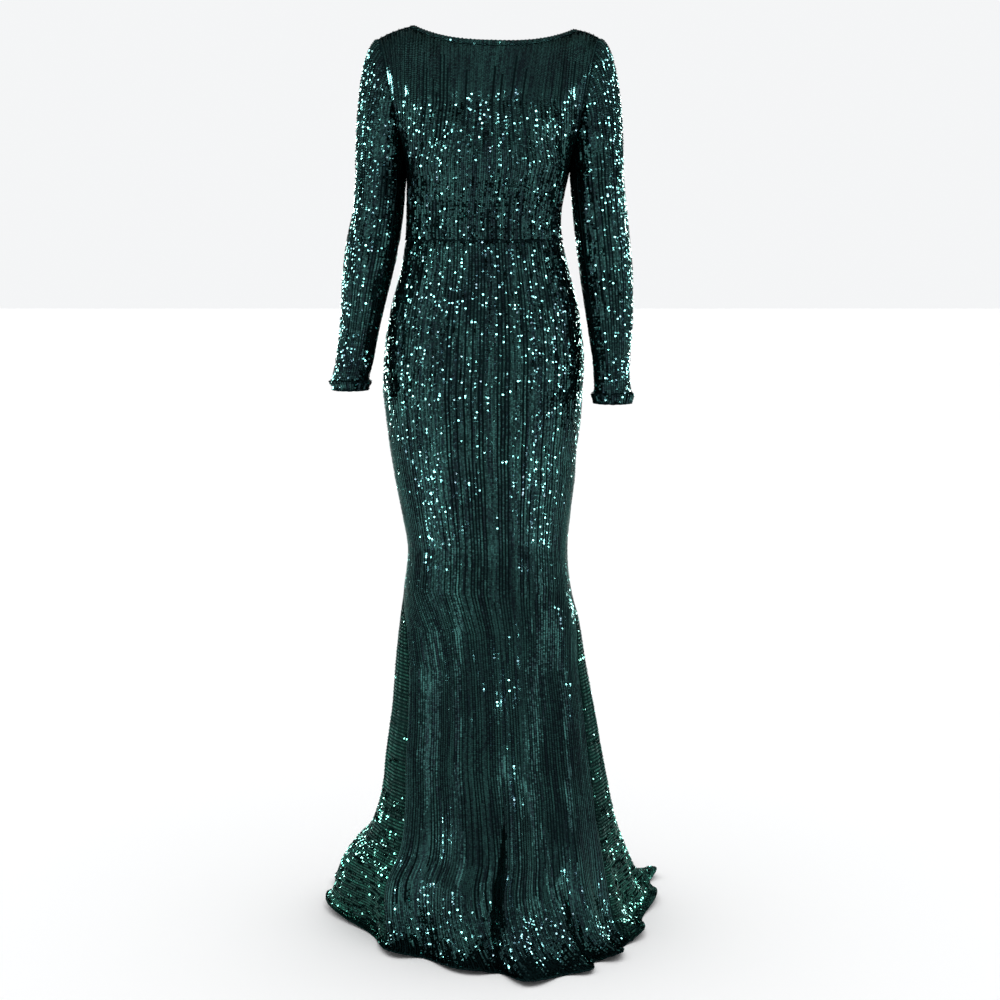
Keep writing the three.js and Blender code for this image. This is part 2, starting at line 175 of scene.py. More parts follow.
sunlit = bpy.data.collections.new("lit by the sun")
sunlit.objects.link(floor)
sun = bpy.data.lights.new("sun", "SUN")
sun.energy = SUN_STRENGTH
sun.angle = SUN_SOFTNESS
sky_light = bpy.data.objects.new("sun", sun)
sky_light.light_linking.receiver_collection = sunlit
bpy.context.scene.collection.objects.link(sky_light)

lit = bpy.data.collections.new("lit by the lamps")
for name, azimuth, elevation, wide, tall, level in LIGHTS:
    lamp = bpy.data.lights.new(name, "AREA")
    lamp.shape = "RECTANGLE"
    lamp.size = wide
    lamp.size_y = tall
    lamp.energy = level * wide * tall * math.pi
    turn = math.radians(azimuth)
    rise = math.radians(elevation)
    box = bpy.data.objects.new(name, lamp)
    box.location = (
        MIDDLE[0] + LIGHT_DISTANCE * math.cos(rise) * math.sin(turn),
        MIDDLE[1] - LIGHT_DISTANCE * math.cos(rise) * math.cos(turn),
        MIDDLE[2] + LIGHT_DISTANCE * math.sin(rise),
    )
    box.rotation_euler = (math.pi / 2 - rise, 0, turn)
    box.light_linking.receiver_collection = lit
    bpy.context.scene.collection.objects.link(box)


# Front bodice
# One piece of black-green stretch mesh, cut on the fold, with sequins sewn down it in rows. It runs
# from the waist seam to a boat neck, whose edge is turned in and stitched.
MM = 0.001
CLOTH = 1.3  # thickness of the mesh under its sequins
BODICE_RIBS = 58


def table(columns, rows):
    """Columns of numbers by name."""
    return {name: np.array(column, float) for name, column in zip(columns.split(), zip(*rows))}


BODICE = table("z left right front back frontEdge backEdge round", [
    [-331.5, -129, 116, -88, 82, 2, 2, 1],
    [-307, -128, 114, -93, 86, 2, 2, 1],
    [-284, -127, 115, -102, 90, 2, 2, 1],
    [-260, -127, 119, -113, 94, 2, 2, 1],
    [-237, -127, 124, -124, 97, 2, 2, 1],
    [-213, -130, 130, -131, 100, 2, 2, 1],
    [-188, -134, 135, -132, 103, -22, 26, 0.75],
    [-155, -142, 144, -124, 106, -43, 49, 0.45],
    [-120, -149, 151, -109, 106, -54, 60, 0.2],
])
ARMPIT_ROW = 5
CHEST_ROW = len(BODICE["z"]) - 1
YOKE_ROWS = 4  # from the chest up to the neck and shoulders
TOP_ROW = CHEST_ROW + YOKE_ROWS
NECK_CORNERS = [(-118, 4, 4), (137, 4, -2)]
SHOULDER_CORNERS = [(-173, 6, -16), (176, 6, -15)]
SHOULDER_ARCH = 2  # rise in the middle of the shoulder seam
NECK_SHARE = 0.8  # part of the top edge that is neckline
NECK_REACH = {1: -76, -1: 58}  # from the neck corners to the middle, in front and behind
NECK_DROP = {1: 27, -1: 24}
NECK_OVAL = 0.35
NECK_REACH_POWER = 2.1
NECK_DROP_POWER = 2.6
ARCH_WIDTH = (2.3, 2.0)  # of a flat section and of a round one
ARCH_CURVE = (1.0, 0.44)
YOKE_INWARD = (0.35, 0.04)  # in the middle and at the shoulders
YOKE_UPWARD = (0.62, 0.85)
YOKE_SIDEWAYS = 0.6
YOKE_POWER = 1.5
NECK_BAND = 11  # depth of the turned neck edge
NECK_FADE = 0.02  # how far past the neck corners the band ends, as a part of the half-width
NECK_FADE_WIDTH = 0.05
NECK_PUCKER = 0.15
NECK_PUCKERS = 165  # turns of the wave in a half-width, in radians
BODICE_HALF = 150  # half of the width of the front or back
SEAM_LAP = 0.0008  # part of the half-width by which the bodice panels lap at their seams
RIB = 0.9  # how far a row of sequins stands out
RIB_SPACING = 5.6
RIB_LEAST, RIB_MOST = 0.4, 1.1  # share of RIB where the ribs crowd together and where they spread
RIB_COLUMNS = 4  # of points to a rib
ROW_SPACING = 6.0  # between rows of points
EDGE_SPACING = 2.2  # between rows of points beside a turned edge
SEAM_ZONE = (0, 8)  # where those lie, from the start of a panel
EDGE_ZONE = (-30, 0)  # and back from its end
INSIDE_ROW_STEP = 2  # rows of the outside to one of the inside
INSIDE_COLUMN_STEP = 4
MEASURED_LINES = [0.1, 0.3, 0.5, 0.7, 0.9]  # across a panel, for its length
MEASURED_PLACES = 600
MEASURED_ACROSS = 80
SHARP_ANGLE = math.radians(60)
KNIT_COLUMNS = 900  # in a metre, 1.1 mm apart: a little coarser than the real ones, to show
KNIT_ROWS = 1400  # in a metre, 0.7 mm apart
KNIT_DEPTH = 0.6  # how far the loops stand out
SEAM_ALLOWANCE = 1.6  # strip beside each seam and edge that is clear of sequins
SEQUIN_SIDES = 6
SEQUIN_WIDTH = 3.2
SEQUIN_PITCH = 2.8  # along a row
SEQUIN_STANDS = 0.7  # above the mesh
SEQUIN_TILT = math.radians(12)  # how far the lower edge stands off
SEQUIN_SPREAD = math.radians(13)  # how unevenly they lie
ROW_LEAN = math.radians(12)  # how far a stretch of a row leans to one side
ROW_NOD = math.radians(12)  # and up or down
LEAN_LENGTH = 17.0  # stretch of a row that leans alike
STREAK_LENGTH = 42.0  # stretch of a row that has one painted sheen
PAINTED_SHEEN_SHADE = 0.25  # how much lighter or darker each stretch is painted: a painted sheen, as if the rows caught the light unevenly
SEQUIN_SHADE = 0.3  # how much the sequins' own tone differs at random, from sequin to sequin
ROW_START = (0.15, 0.85)  # part of a pitch
ROW_WANDER = 0.12  # part of the way to the next row
FOOT_ROW_SPACING = 5.0  # where the ribs are farther apart, a second row is sewn in the valley
FOOT_ROW_VARIETY = 0.3  # part by which that differs from row to row
STEP = 0.001  # across a panel, for its slope
BODY_CORE = (0, 20)  # a place inside the gown, seen from above

# How unevenly the sequins lie at each height: most over the bust and hips, least down the hanging skirt
LIE_COLUMNS = "z loose"
LIE = table(LIE_COLUMNS, [
    [0, 0.14],
    [-104, 0.16],
    [-130, 1],
    [-225, 1],
    [-250, 1.8],
    [-325, 1.7],
    [-345, 1],
    [-540, 1],
    [-640, 0.75],
    [-760, 0.5],
    [-880, 0.28],
    [-1100, 0.18],
    [-1340, 0.2],
    [-1395, 0.7],
    [-1425, 1.1],
    [-1457, 1.4],
])

# Soft creases of the front bodice, from one end to the other. A ridge rises above 0, a trough below.
CREASE_COLUMNS = "x1 z1 x2 z2 width rise"
CREASE_ENDS = 0.05  # how far along its swell a crease starts, so that its ends still show a little
CREASE_FULLNESS = 0.7  # below 1 a crease keeps its height over more of its length
FRONT_BODICE_CREASES = table(CREASE_COLUMNS, [
    [-126, -205, -70, -168, 9, -2.0],
    [-120, -232, -62, -205, 9, 1.6],
    [128, -205, 78, -165, 9, -2.0],
    [122, -235, 70, -200, 9, 1.5],
    [-112, -322, -55, -300, 7, 1.3],
    [-108, -300, -60, -284, 7, -1.1],
    [104, -322, 48, -303, 7, 1.3],
    [98, -300, 52, -280, 7, -1.1],
    [-140, -150, -128, -70, 8, -1.6],
    [142, -150, 132, -72, 8, -1.6],
    [-20, -322, 8, -306, 8, 0.8],
])


def mix(a, b, share):
    """The value at a share of the way from a to b."""
    return a + (b - a) * share


def between_rows(rows, name, place):
    """A column at a place between the rows, on a smooth curve through them."""
    values = rows[name]
    last = len(values) - 1
    place = np.clip(place, 0, last)
    i = np.minimum(place.astype(int), last - 1)
    t = place - i
    a, b = values[i], values[i + 1]
    before = np.where(i > 0, values[np.maximum(i - 1, 0)], 2 * a - b)
    after = np.where(i < last - 1, values[np.minimum(i + 2, last)], 2 * b - a)
    into, out = (b - before) / 2, (after - a) / 2
    square, cube = t * t, t * t * t
    return ((2 * cube - 3 * square + 1) * a + (cube - 2 * square + t) * into
            + (3 * square - 2 * cube) * b + (cube - square) * out)


def point(x, y, z):
    """Points from three arrays of coordinates."""
    return np.stack(np.broadcast_arrays(x, y, z), axis=-1)


def bend(a, control, b, share):
    """A point on a curve that leaves a towards the control point and reaches b."""
    return mix(mix(a, control, share), mix(control, b, share), share)


def section_point(place, face, across):
    """A point of the bodice up to the chest. across is -1 at the left edge and 1 at the right."""
    side = "front" if face > 0 else "back"
    z, left, right, middle, edge, round_ = (
        between_rows(BODICE, name, place) for name in ("z", "left", "right", side, f"{side}Edge", "round")
    )
    share = mix(across, np.sin(across * math.pi / 2), round_)
    width = mix(*ARCH_WIDTH, round_)
    curve = mix(*ARCH_CURVE, round_)
    bulge = np.maximum(0, 1 - np.abs(share) ** width) ** curve
    return point((left + right) / 2 + (right - left) / 2 * share, mix(edge, middle, bulge), z)


def top_point(face, across):
    """A point of the neckline or the shoulder seam."""
    at_right = (across >= 0)[..., None]
    neck = np.where(at_right, NECK_CORNERS[1], NECK_CORNERS[0]).astype(float)
    shoulder = np.where(at_right, SHOULDER_CORNERS[1], SHOULDER_CORNERS[0]).astype(float)
    along = np.clip((np.abs(across) - NECK_SHARE) / (1 - NECK_SHARE), 0, 1)
    shoulder_line = mix(neck, shoulder, along[..., None])
    shoulder_line[..., 2] += SHOULDER_ARCH * np.sin(along * math.pi)
    part = np.clip(across / NECK_SHARE, -1, 1)
    share = mix(part, np.sin(part * math.pi / 2), NECK_OVAL)
    ends = [np.array(corner, float) for corner in NECK_CORNERS]
    neckline = mix(ends[0], ends[1], ((share + 1) / 2)[..., None])
    neckline[..., 1] += NECK_REACH[face] * (1 - np.abs(share) ** NECK_REACH_POWER)
    neckline[..., 2] -= NECK_DROP[face] * (1 - np.abs(share) ** NECK_DROP_POWER)
    return np.where((np.abs(across) >= NECK_SHARE)[..., None], shoulder_line, neckline)


def alike(a, b):
    """Both as arrays of one shape."""
    return np.broadcast_arrays(np.asarray(a, float), np.asarray(b, float))


def bodice_point(place, face, across):
    """A point of the bodice. face is 1 for the front and -1 for the back."""
    place, across = alike(place, across)
    chest = section_point(np.full(place.shape, float(CHEST_ROW)), face, across)
    top = top_point(face, across)
    size = np.abs(across) ** YOKE_POWER
    control = point(
        mix(chest[..., 0], top[..., 0], YOKE_SIDEWAYS),
        mix(chest[..., 1], top[..., 1], mix(*YOKE_INWARD, size)),
        mix(chest[..., 2], top[..., 2], mix(*YOKE_UPWARD, size)),
    )
    share = np.clip((place - CHEST_ROW) / YOKE_ROWS, 0, 1)[..., None]
    yoke = bend(chest, control, top, share)
    return np.where((place <= CHEST_ROW)[..., None], section_point(place, face, across), yoke)


def unit(vectors):
    """The vectors, each given a length of one."""
    return vectors / np.maximum(np.linalg.norm(vectors, axis=-1, keepdims=True), 1e-9)


def lie_of(at, relief, core, place_at, length, u, walked):
    """Points of a panel, the way out there with and without its relief, the relief's height, and on
    which side the outside is. core is a place inside the gown, seen from above."""
    def surface(u, walked):
        points = at(u, place_at(walked))
        return points, relief(u, walked, length, points)

    points, rise = surface(u, walked)
    right, rise_right = surface(u + STEP, walked)
    left, rise_left = surface(u - STEP, walked)
    lower, rise_lower = surface(u, np.minimum(walked + 1, length))
    upper, rise_upper = surface(u, np.maximum(walked - 1, 0))
    across, along = right - left, lower - upper
    out = unit(np.cross(across, along))
    facing = np.sign(np.sum(out[..., :2] * (points[..., :2] - np.array(core))))
    out = out * facing
    lean_across = unit(across) * ((rise_right - rise_left) / np.linalg.norm(across, axis=-1))[..., None]
    lean_along = unit(along) * ((rise_lower - rise_upper) / np.linalg.norm(along, axis=-1))[..., None]
    return points, out, unit(out - lean_across - lean_along), rise, unit(along), facing


def creases(rows, side, height):
    """How far soft creases raise the cloth, by its place across and its height."""
    raised = np.zeros(np.broadcast(side, height).shape)
    for x1, z1, x2, z2, width, rise in zip(*rows.values()):
        run = (x2 - x1) ** 2 + (z2 - z1) ** 2
        share = np.clip(((side - x1) * (x2 - x1) + (height - z1) * (z2 - z1)) / run, 0, 1)
        apart = np.hypot(side - mix(x1, x2, share), height - mix(z1, z2, share))
        swell = np.sin(math.pi * mix(CREASE_ENDS, 1 - CREASE_ENDS, share)) ** CREASE_FULLNESS
        raised += rise * swell * np.exp(-(apart / width) ** 2)
    return raised


def places_down(at, first, last):
    """Distances along a panel and the places there, measured on a few lines and averaged."""
    places = np.linspace(first, last, MEASURED_PLACES)
    points = at(np.array([MEASURED_LINES]), places[:, None])
    walked = np.linalg.norm(np.diff(points, axis=0), axis=2).mean(axis=1)
    return np.concatenate([[0], np.cumsum(walked)]), places


def row_distances(length, zones):
    """Distances of the rows of points, closer beside the turned edges, in an even number of steps."""
    found = [0.0]
    while found[-1] < length:
        near = any(low <= found[-1] <= high for low, high in zones)
        found.append(found[-1] + (EDGE_SPACING if near else ROW_SPACING))
    if len(found) % INSIDE_ROW_STEP == 0:
        found.append(found[-1] + EDGE_SPACING)
    return np.array(found) * length / found[-1]


def widths_across(at, place_at, walked):
    """The width of a panel at each distance down it."""
    points = at(np.linspace(0, 1, MEASURED_ACROSS)[None, :], place_at(walked)[:, None])
    return np.linalg.norm(np.diff(points, axis=1), axis=2).sum(axis=1)


def shell_mesh(name, outside, inside, uv_outside, uv_inside, facing):
    """A thin closed shell: a fine outside, a plain inside with fewer points, and a rim round both."""
    outer = np.arange(outside.shape[0] * outside.shape[1]).reshape(outside.shape[:2])
    inner = outer.size + np.arange(inside.shape[0] * inside.shape[1]).reshape(inside.shape[:2])

    def quads(grid):
        return np.stack([grid[:-1, :-1], grid[:-1, 1:], grid[1:, 1:], grid[1:, :-1]], axis=-1).reshape(-1, 4)

    faces = quads(outer).tolist() + quads(inner)[:, ::-1].tolist()
    wide = (outer.shape[1] - 1) // (inner.shape[1] - 1)
    tall = (outer.shape[0] - 1) // (inner.shape[0] - 1)
    for j in range(inner.shape[1] - 1):
        near = outer[0, j * wide:(j + 1) * wide + 1].tolist()
        far = outer[-1, j * wide:(j + 1) * wide + 1].tolist()
        faces.append([int(inner[0, j]), int(inner[0, j + 1]), *near[::-1]])
        faces.append([*far, int(inner[-1, j + 1]), int(inner[-1, j])])
    for i in range(inner.shape[0] - 1):
        left = outer[i * tall:(i + 1) * tall + 1, 0].tolist()
        right = outer[i * tall:(i + 1) * tall + 1, -1].tolist()
        faces.append([*left, int(inner[i + 1, 0]), int(inner[i, 0])])
        faces.append([int(inner[i, -1]), int(inner[i + 1, -1]), *right[::-1]])
    if facing < 0:
        faces = [face[::-1] for face in faces]
    mesh = bpy.data.meshes.new(name)
    mesh.from_pydata(np.concatenate([outside.reshape(-1, 3), inside.reshape(-1, 3)]) * MM, [], faces)
    corner_points = np.zeros(len(mesh.loops), int)
    mesh.loops.foreach_get("vertex_index", corner_points)
    uvs = np.concatenate([uv_outside.reshape(-1, 2), uv_inside.reshape(-1, 2)])[corner_points]
    mesh.uv_layers.new(name="UVMap").data.foreach_set("uv", uvs.ravel())
    mesh.shade_smooth()
    mesh.set_sharp_from_angle(angle=SHARP_ANGLE)
    return mesh


def sequin_tree():
    """Nodes that lay a six-sided sequin on each point of a mesh, along its row."""
    tree = bpy.data.node_groups.new("Sequins", "GeometryNodeTree")
    face = tree.interface
    for label, kind in (("Geometry", "Geometry"), ("Width", "Float"), ("Spread", "Float"),
                        ("Seed", "Int"), ("Film", "Material")):
        face.new_socket(label, in_out="INPUT", socket_type=f"NodeSocket{kind}")
    face.new_socket("Geometry", in_out="OUTPUT", socket_type="NodeSocketGeometry")
    given = tree.nodes.new("NodeGroupInput").outputs
    radius = add_node(tree, "ShaderNodeMath", {0: given["Width"], 1: 0.5}, operation="MULTIPLY")
    disc = add_node(tree, "GeometryNodeMeshCircle", {"Vertices": SEQUIN_SIDES, "Radius": radius.outputs[0]},
                    fill_type="NGON")
    out, down, loose = (
        add_node(tree, "GeometryNodeInputNamedAttribute", {"Name": name}, data_type=kind).outputs[0]
        for name, kind in (("out", "FLOAT_VECTOR"), ("down", "FLOAT_VECTOR"), ("loose", "FLOAT"))
    )
    up_straight = add_node(tree, "FunctionNodeAlignRotationToVector", {"Vector": out}, axis="Z")
    along_row = add_node(tree, "FunctionNodeAlignRotationToVector",
                         {"Rotation": up_straight.outputs[0], "Vector": down}, axis="X", pivot_axis="Z")
    reach = add_node(tree, "ShaderNodeMath", {0: given["Spread"], 1: loose}, operation="MULTIPLY")
    most = add_node(tree, "ShaderNodeCombineXYZ", {"X": reach.outputs[0], "Y": reach.outputs[0]})
    least = add_node(tree, "ShaderNodeVectorMath",
                     {0: most.outputs[0], 1: (-1, -1, -1)}, operation="MULTIPLY")
    lying = add_node(tree, "FunctionNodeRandomValue",
                     {0: least.outputs[0], 1: most.outputs[0], "Seed": given["Seed"]},
                     data_type="FLOAT_VECTOR")
    euler = add_node(tree, "FunctionNodeEulerToRotation", {0: lying.outputs[0]})
    final = add_node(tree, "FunctionNodeRotateRotation",
                     {"Rotation": along_row.outputs[0], "Rotate By": euler.outputs[0]},
                     rotation_space="LOCAL")
    placed = add_node(
        tree, "GeometryNodeInstanceOnPoints",
        {"Points": given["Geometry"], "Instance": disc.outputs[0], "Rotation": final.outputs[0]},
    )
    real = add_node(tree, "GeometryNodeRealizeInstances", {"Geometry": placed.outputs[0]})
    done = add_node(tree, "GeometryNodeSetMaterial",
                    {"Geometry": real.outputs[0], "Material": given["Film"]})
    add_node(tree, "NodeGroupOutput", {"Geometry": done.outputs[0]})
    return tree


SEQUINS = sequin_tree()


def sew_sequins(name, points, out, down, loose, tone_and_sheen, film, seed):
    """A piece of sequins, one at each point, in metres."""
    mesh = bpy.data.meshes.new(name)
    mesh.from_pydata(points * MM, [], [])
    for label, values in (("out", out), ("down", down)):
        mesh.attributes.new(label, "FLOAT_VECTOR", "POINT").data.foreach_set("vector", values.ravel())
    # the last of these carries each sequin's random tone and the painted sheen of its stretch
    for label, values in (("loose", loose), ("tone_and_sheen", tone_and_sheen)):
        mesh.attributes.new(label, "FLOAT", "POINT").data.foreach_set("value", values)
    piece = bpy.data.objects.new(name, mesh)
    bpy.context.scene.collection.objects.link(piece)
    sewing = piece.modifiers.new("Sequins", "NODES")
    sewing.node_group = SEQUINS
    settings = {"Width": SEQUIN_WIDTH * MM, "Spread": SEQUIN_SPREAD, "Seed": seed, "Film": film}
    for socket in SEQUINS.interface.items_tree:
        if socket.in_out == "INPUT" and socket.name in settings:
            sewing[socket.identifier] = settings[socket.name]
    whole = piece.evaluated_get(bpy.context.evaluated_depsgraph_get())
    piece.data = bpy.data.meshes.new_from_object(whole)
    piece.modifiers.clear()
    piece.data.name = name
    return piece


def uneven(dice, shape, beats, axis):
    """Numbers that wander smoothly along one axis and differ from line to line."""
    count = max(3, int(beats))
    sizes = (count, shape[1]) if axis == 0 else (shape[0], count)
    knots = dice.normal(0, 1, sizes)
    steps = np.linspace(0, count - 1, shape[axis])
    low = np.minimum(steps.astype(int), count - 2)
    share = steps - low
    if axis == 0:
        return mix(knots[low], knots[low + 1], share[:, None])
    return mix(knots[:, low], knots[:, low + 1], share[None, :])


def clouded(tree, factor, clouds_in_metre, detail, first, last):
    """A colour by a factor that soft clouds dim. first and last are a hex code and its place each."""
    place = add_node(tree, "ShaderNodeTexCoord")
    clouds = add_node(tree, "ShaderNodeTexNoise",
                      {"Vector": place.outputs["Object"], "Scale": clouds_in_metre, "Detail": detail})
    both = add_node(tree, "ShaderNodeMath", {0: factor, 1: clouds.outputs[0]}, operation="MULTIPLY")
    ramp = add_node(tree, "ShaderNodeValToRGB", {"Fac": both.outputs[0]})
    for stop, (code, share) in zip(ramp.color_ramp.elements, (first, last)):
        stop.color = linear(code)
        stop.position = share
    return ramp.outputs["Color"]


def mesh_cloth_material(name, ground, thread, lines_across, lines_down):
    """Fine knitted stretch mesh, quite matt: lighter loops of thread on a dark ground."""
    material, tree, shader = new_material(name)
    where = add_node(tree, "ShaderNodeUVMap", uv_map="UVMap")
    scale = add_node(tree, "ShaderNodeVectorMath",
                     {0: where.outputs[0], 1: (lines_across, lines_down, 1)}, operation="MULTIPLY")
    knit = add_node(tree, "ShaderNodeTexVoronoi", {"Vector": scale.outputs[0], "Scale": 1.0})
    bump = add_node(tree, "ShaderNodeBump",
                    {"Height": knit.outputs["Distance"], "Strength": 0.5, "Distance": KNIT_DEPTH * MM},
                    invert=True)
    set_inputs(tree, shader, {
        "Base Color": clouded(tree, knit.outputs["Distance"], clouds_in_metre=14.0, detail=3.0,
                              first=(thread, 0.08), last=(ground, 0.42)),
        "Normal": bump.outputs["Normal"], "Roughness": 0.62, "Specular IOR Level": 0.0,
    })
    return material


def film_material(name, dark, bright):
    """Metallised plastic film, glossy, its tone a little lighter or darker on each sequin at random and
    along stretches of a row as a painted sheen.
    """
    material, tree, shader = new_material(name)
    # The sequin's tone: partly its own random colour, partly a painted sheen along the rows
    tone_and_sheen = add_node(tree, "ShaderNodeAttribute", attribute_name="tone_and_sheen").outputs["Fac"]
    rough = add_node(tree, "ShaderNodeMapRange", {"Value": tone_and_sheen, "To Min": 0.17, "To Max": 0.08})
    set_inputs(tree, shader, {
        "Base Color": clouded(tree, tone_and_sheen, clouds_in_metre=9.0, detail=2.0,
                              first=(dark, 0.05), last=(bright, 0.55)),
        "Roughness": rough.outputs[0], "Metallic": 1.0, "Specular Tint": linear("#BCD8D2"),
        "Coat Weight": 0.2, "Coat Roughness": 0.1,
    })
    return material


stretch_mesh = mesh_cloth_material("Black-green stretch mesh", "#040809", "#0B1A1B", KNIT_COLUMNS, KNIT_ROWS)
green_film = film_material("Green sequin film", "#0E2127", "#32605C")


def rib_height(u, ribs, crowd):
    """How far the ribs of a panel stand out at a share across it."""
    return RIB * crowd * (0.5 - 0.5 * np.cos(2 * math.pi * ribs * u))


def panel(node, at, relief, places, ribs, seed, core=BODY_CORE, columns=RIB_COLUMNS,
          zones=(SEAM_ZONE, EDGE_ZONE), film=green_film, cloth=stretch_mesh,
          lie=LIE, level=False):
    """A panel of cloth and its sequins. at gives a point by the share across and the place along, and
    relief the height of the creases and turned edges there. zones are the finer stretches, measured
    from the start or back from the end. level has the rows run across."""
    name = f"{node}_cloth"
    reach, places = places_down(at, *places)
    length = reach[-1]

    def place_at(walked):
        return np.interp(walked, reach, places)

    stops = row_distances(length, [zone if zone[0] >= 0 else (length + zone[0], length) for zone in zones])
    widths = widths_across(at, place_at, stops)
    crowd = np.clip(widths / ribs / RIB_SPACING, RIB_LEAST, RIB_MOST)
    u = np.broadcast_to(np.linspace(0, 1, ribs * columns + 1), (len(stops), ribs * columns + 1))
    walked = np.broadcast_to(stops[:, None], u.shape)
    points, out, _, rise, _, facing = lie_of(at, relief, core, place_at, length, u, walked)
    outside = points + out * (rise + rib_height(u, ribs, crowd[:, None]))[..., None]
    plain = (slice(None, None, INSIDE_ROW_STEP), slice(None, None, INSIDE_COLUMN_STEP))
    inside = (points + out * (rise - CLOTH)[..., None])[plain]
    uv = np.stack([u * widths.max() * MM, walked * MM], axis=-1)
    mesh = shell_mesh(name, outside, inside, uv, uv[plain], facing)
    mesh.materials.append(cloth)
    piece = bpy.data.objects.new(name, mesh)
    bpy.context.scene.collection.objects.link(piece)

    dice = np.random.default_rng(seed)
    if level:
        lines = int(length / RIB_SPACING)
        most = int(widths.max() / SEQUIN_PITCH / 2)
        down = (np.arange(lines)[:, None] + 0.5) * length / lines
        spots = np.arange(-most, most + 1)[None, :] + dice.uniform(-0.5, 0.5, (lines, 1))
        crest = 0.5 + spots * SEQUIN_PITCH / np.interp(down, stops, widths)
        down = np.broadcast_to(down, crest.shape)
        run = widths.max()
        needed = True
    else:
        lines = int(length / SEQUIN_PITCH)
        rows = 2 * ribs
        down = (np.arange(lines)[:, None] + dice.uniform(*ROW_START, (1, rows))) * length / lines
        crest = (np.arange(rows)[None, :] + 1 + dice.uniform(-ROW_WANDER, ROW_WANDER, (lines, rows))) / rows
        run = length
        on_rib = np.arange(rows) % 2 == 0
        least = FOOT_ROW_SPACING * (1 + FOOT_ROW_VARIETY * dice.uniform(-1, 1, (1, rows)))
        needed = on_rib | (np.interp(down, stops, widths) / ribs > least)
    axis = 1 if level else 0
    lean = uneven(dice, crest.shape, run / LEAN_LENGTH, axis)
    nod = uneven(dice, crest.shape, run / LEAN_LENGTH, axis)
    # Stretches of a row painted lighter or darker: a painted sheen, as if the row caught the light unevenly
    painted_sheen = uneven(dice, crest.shape, run / STREAK_LENGTH, axis)
    edge = SEAM_ALLOWANCE / np.interp(down, stops, widths)
    clear_of_ends = (down > SEAM_ALLOWANCE) & (down < length - SEAM_ALLOWANCE)
    kept = (crest > edge) & (crest < 1 - edge) & clear_of_ends & needed
    crest, down, lean, nod, painted_sheen = (values[kept] for values in (crest, down, lean, nod, painted_sheen))
    points, out, facing_out, rise, fall, _ = lie_of(at, relief, core, place_at, length, crest, down)
    top = rib_height(crest, ribs, np.interp(down, stops, crowd))
    points = points + out * (rise + top + SEQUIN_STANDS)[:, None]
    loose = np.interp(-points[:, 2], -lie["z"], lie["loose"])
    # Each sequin's tone: its own random difference plus the painted sheen of its stretch
    speckle = dice.uniform(-SEQUIN_SHADE, SEQUIN_SHADE, len(painted_sheen))
    tone_and_sheen = np.clip(0.5 + PAINTED_SHEEN_SHADE * painted_sheen + speckle, 0, 1)
    fall = -fall * np.sign(fall[:, 2].mean())
    aside = np.cross(fall, facing_out)
    leaning = np.tan(ROW_LEAN * loose * lean)[:, None]
    nodding = np.tan(ROW_NOD * loose * nod + SEQUIN_TILT)[:, None]
    facing_out = unit(facing_out + aside * leaning - fall * nodding)
    sequins = sew_sequins(f"{name}_sequins", points, facing_out, fall, loose, tone_and_sheen, film, seed)
    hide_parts(node)
    for made in (piece, sequins):
        lit.objects.link(made)
        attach(made, "root")
    return piece, sequins


def near_edge(distance, depth, width):
    """A soft line at a distance from an edge."""
    return np.exp(-((distance - depth) / width) ** 2)


def seam(distance, depth, width):
    """A seam's dent, deepest at the edge."""
    return -depth * near_edge(distance, 0, width)


def within(distance, band, ease):
    """1 inside a band along an edge and 0 beyond it."""
    return np.clip((band - distance) / ease, 0, 1)


def turned_band(distance, band, rise, ease, stitch, width):
    """A turned edge, raised as far as its row of stitches, which is drawn in."""
    return rise * within(distance, band, ease) - stitch * near_edge(distance, band, width)


def bodice_relief(rows, start, end):
    """The bodice's creases, its seams and its turned neck edge. start and end are its edges across."""
    def relief(u, walked, length, points):
        across = mix(start, end, u)
        from_top = length - walked
        from_side = np.minimum(u, 1 - u) * BODICE_HALF * (end - start)
        neck = np.clip((NECK_SHARE + NECK_FADE - np.abs(across)) / NECK_FADE_WIDTH, 0, 1)
        band = turned_band(from_top, NECK_BAND, rise=0.9, ease=3, stitch=0.8, width=1.8)
        pucker = NECK_PUCKER * np.sin(across * NECK_PUCKERS) * within(from_top, NECK_BAND, ease=6)
        seams = seam(walked, depth=1.6, width=3.5) + (1 - neck) * seam(from_top, depth=1.2, width=3)
        sides = seam(from_side, depth=0.7, width=4)
        return creases(rows, points[..., 0], points[..., 2]) + neck * (band + pucker) + seams + sides
    return relief


def bodice_at(face, start, end):
    """The surface of a bodice panel between two edges across."""
    return lambda u, place: bodice_point(place, face, mix(start - SEAM_LAP, end + SEAM_LAP, u))


front_bodice, front_bodice_sequins = panel(
    "front_bodice", bodice_at(1, -1, 1), bodice_relief(FRONT_BODICE_CREASES, -1, 1),
    (0, TOP_ROW), BODICE_RIBS, seed=11,
)


# Back bodice
# Two halves of the same cloth, sewn together down the centre back and to the front at the sides and
# shoulders. The zipless stretch back lies close between the shoulder blades and at the waist.
BACK_BODICE_CREASES = table(CREASE_COLUMNS, [
    [-118, -318, -30, -296, 8, 1.5],
    [-112, -296, -40, -278, 7, -1.2],
    [-105, -272, -52, -262, 8, 0.9],
    [110, -316, 26, -292, 8, 1.4],
    [104, -294, 36, -274, 7, -1.2],
    [98, -268, 50, -256, 8, 0.9],
    [-132, -180, -92, -120, 9, -1.8],
    [136, -178, 96, -118, 9, -1.8],
    [-128, -210, -84, -176, 9, 1.3],
    [130, -212, 86, -172, 9, 1.3],
])

for side, start, end, seed in (("left", -1, 0, 21), ("right", 0, 1, 22)):
    back_bodice, back_bodice_sequins = panel(
        f"back_bodice_{side}", bodice_at(-1, start, end), bodice_relief(BACK_BODICE_CREASES, start, end),
        (0, TOP_ROW), BODICE_RIBS // 2, seed,
    )


